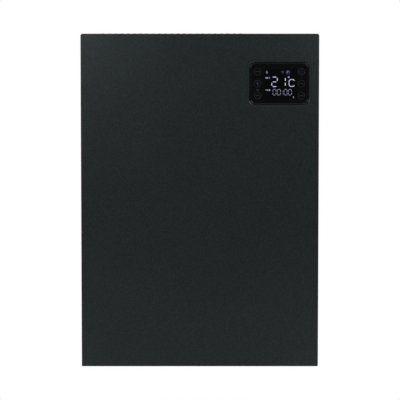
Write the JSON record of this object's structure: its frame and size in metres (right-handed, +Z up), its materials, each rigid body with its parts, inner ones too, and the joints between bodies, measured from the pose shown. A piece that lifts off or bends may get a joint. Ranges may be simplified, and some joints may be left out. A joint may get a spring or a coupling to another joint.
{
  "type": "wall convector heater",
  "caption": "Flat upright convector heater: folded steel case with top outlet grille, touch control with lit display, underside rocker switch and hook-on wall bracket.",
  "frame": {"origin": "middle of the wall bracket's four screw holes, on the wall's surface", "axes": "+Z up, +Y into the wall, so the front faces -Y and +X is to the right as seen from the room"},
  "size_m": [0.43, 0.105, 0.612],
  "materials": {
    "case_paint": "fine matt powder coat",
    "bracket_steel": "zinc plated sheet",
    "zinc_sheet": "galvanised sheet",
    "zinc_fasteners": "bright zinc plate",
    "bumper_rubber": "moulded rubber",
    "bezel_plastic": "polished black moulding",
    "control_glass": "smoked glass, polished",
    "circuit_board": "solder mask",
    "display_plastic": "filled display block",
    "pad_rubber": "conductive foam",
    "shield_can": "tinned shield",
    "black_plastic": "moulded, fine texture",
    "element_steel": "heat-tinted sheath",
    "fin_aluminium": "mill finish",
    "reflector_aluminium": "bright rolled sheet",
    "cutout_can": "drawn can",
    "ceramic": "unglazed steatite",
    "nylon": "natural nylon",
    "insulator": "fibre sheet",
    "relay_plastic": "moulded case",
    "terminal_plastic": "moulded block",
    "capacitor_sleeve": "shrink sleeve",
    "fuse_glass": "glass tube with metal caps",
    "connector_plastic": "moulded nylon",
    "ribbon_plastic": "flat cable",
    "lead_plastic": "insulated wire",
    "sensor_plastic": "epoxy bulb and thin wire",
    "earth_plastic": "green and yellow wire",
    "rocker_plastic": "moulded rocker",
    "terminal_brass": "plain brass"
  },
  "bodies": {
    "bracket": {"wall_bracket": "bracket_steel"},
    "heater": {"bezel_nuts": "zinc_fasteners", "board_standoffs": "nylon", "buzzer": "black_plastic", "capacitors": "capacitor_sleeve", "control_bezel": "bezel_plastic", "control_glass": "control_glass", "cutout_screws": "zinc_fasteners", "display_board": "circuit_board", "display_board_screws": "zinc_fasteners", "display_module": "display_plastic", "earth_lead": "earth_plastic", "earth_nut": "terminal_brass", "earth_stud": "terminal_brass", "element_bracket": "zinc_sheet", "element_bracket_screws": "zinc_fasteners", "element_bushes": "ceramic", "element_fins": "fin_aluminium", "element_tube": "element_steel", "front_panel": "case_paint", "gland_body": "black_plastic", "gland_cap": "black_plastic", "gland_locknut": "black_plastic", "gland_seal": "bumper_rubber", "grille_nuts": "zinc_fasteners", "heat_reflector": "reflector_aluminium", "insulator_sheet": "insulator", "mains_fuse": "fuse_glass", "outlet_grille": "case_paint", "outlet_slats": "case_paint", "partition_plate": "zinc_sheet", "partition_screws": "zinc_fasteners", "power_board": "circuit_board", "power_board_screws": "zinc_fasteners", "power_leads": "lead_plastic", "rear_panel": "case_paint", "rear_panel_screws": "zinc_fasteners", "reflector_screws": "zinc_fasteners", "relays": "relay_plastic", "room_sensor": "sensor_plastic", "sensor_clip": "nylon", "sensor_lead": "sensor_plastic", "signal_cable": "ribbon_plastic", "signal_connectors": "connector_plastic", "standoff_screws": "zinc_fasteners", "supply_transformer": "black_plastic", "switch_housing": "black_plastic", "switch_terminals": "terminal_brass", "terminal_block": "terminal_plastic", "terminal_insulators": "ceramic", "terminal_pins": "zinc_fasteners", "thermal_cutout": "cutout_can", "touch_pads": "pad_rubber", "wall_bumpers": "bumper_rubber", "wifi_module": "shield_can"},
    "rocker": {"switch_rocker": "rocker_plastic"}
  },
  "joints": [
    {"name": "heater_lift", "type": "slide", "parent": "bracket", "child": "heater", "axis": [0, 0, 1], "range_m": [0, 0.011]},
    {"name": "rocker_pivot", "type": "hinge", "parent": "heater", "child": "rocker", "pos_m": [0.153, -0.0468, -0.3003], "axis": [0, 1, 0], "range_deg": [-18, 0]}
  ]
}
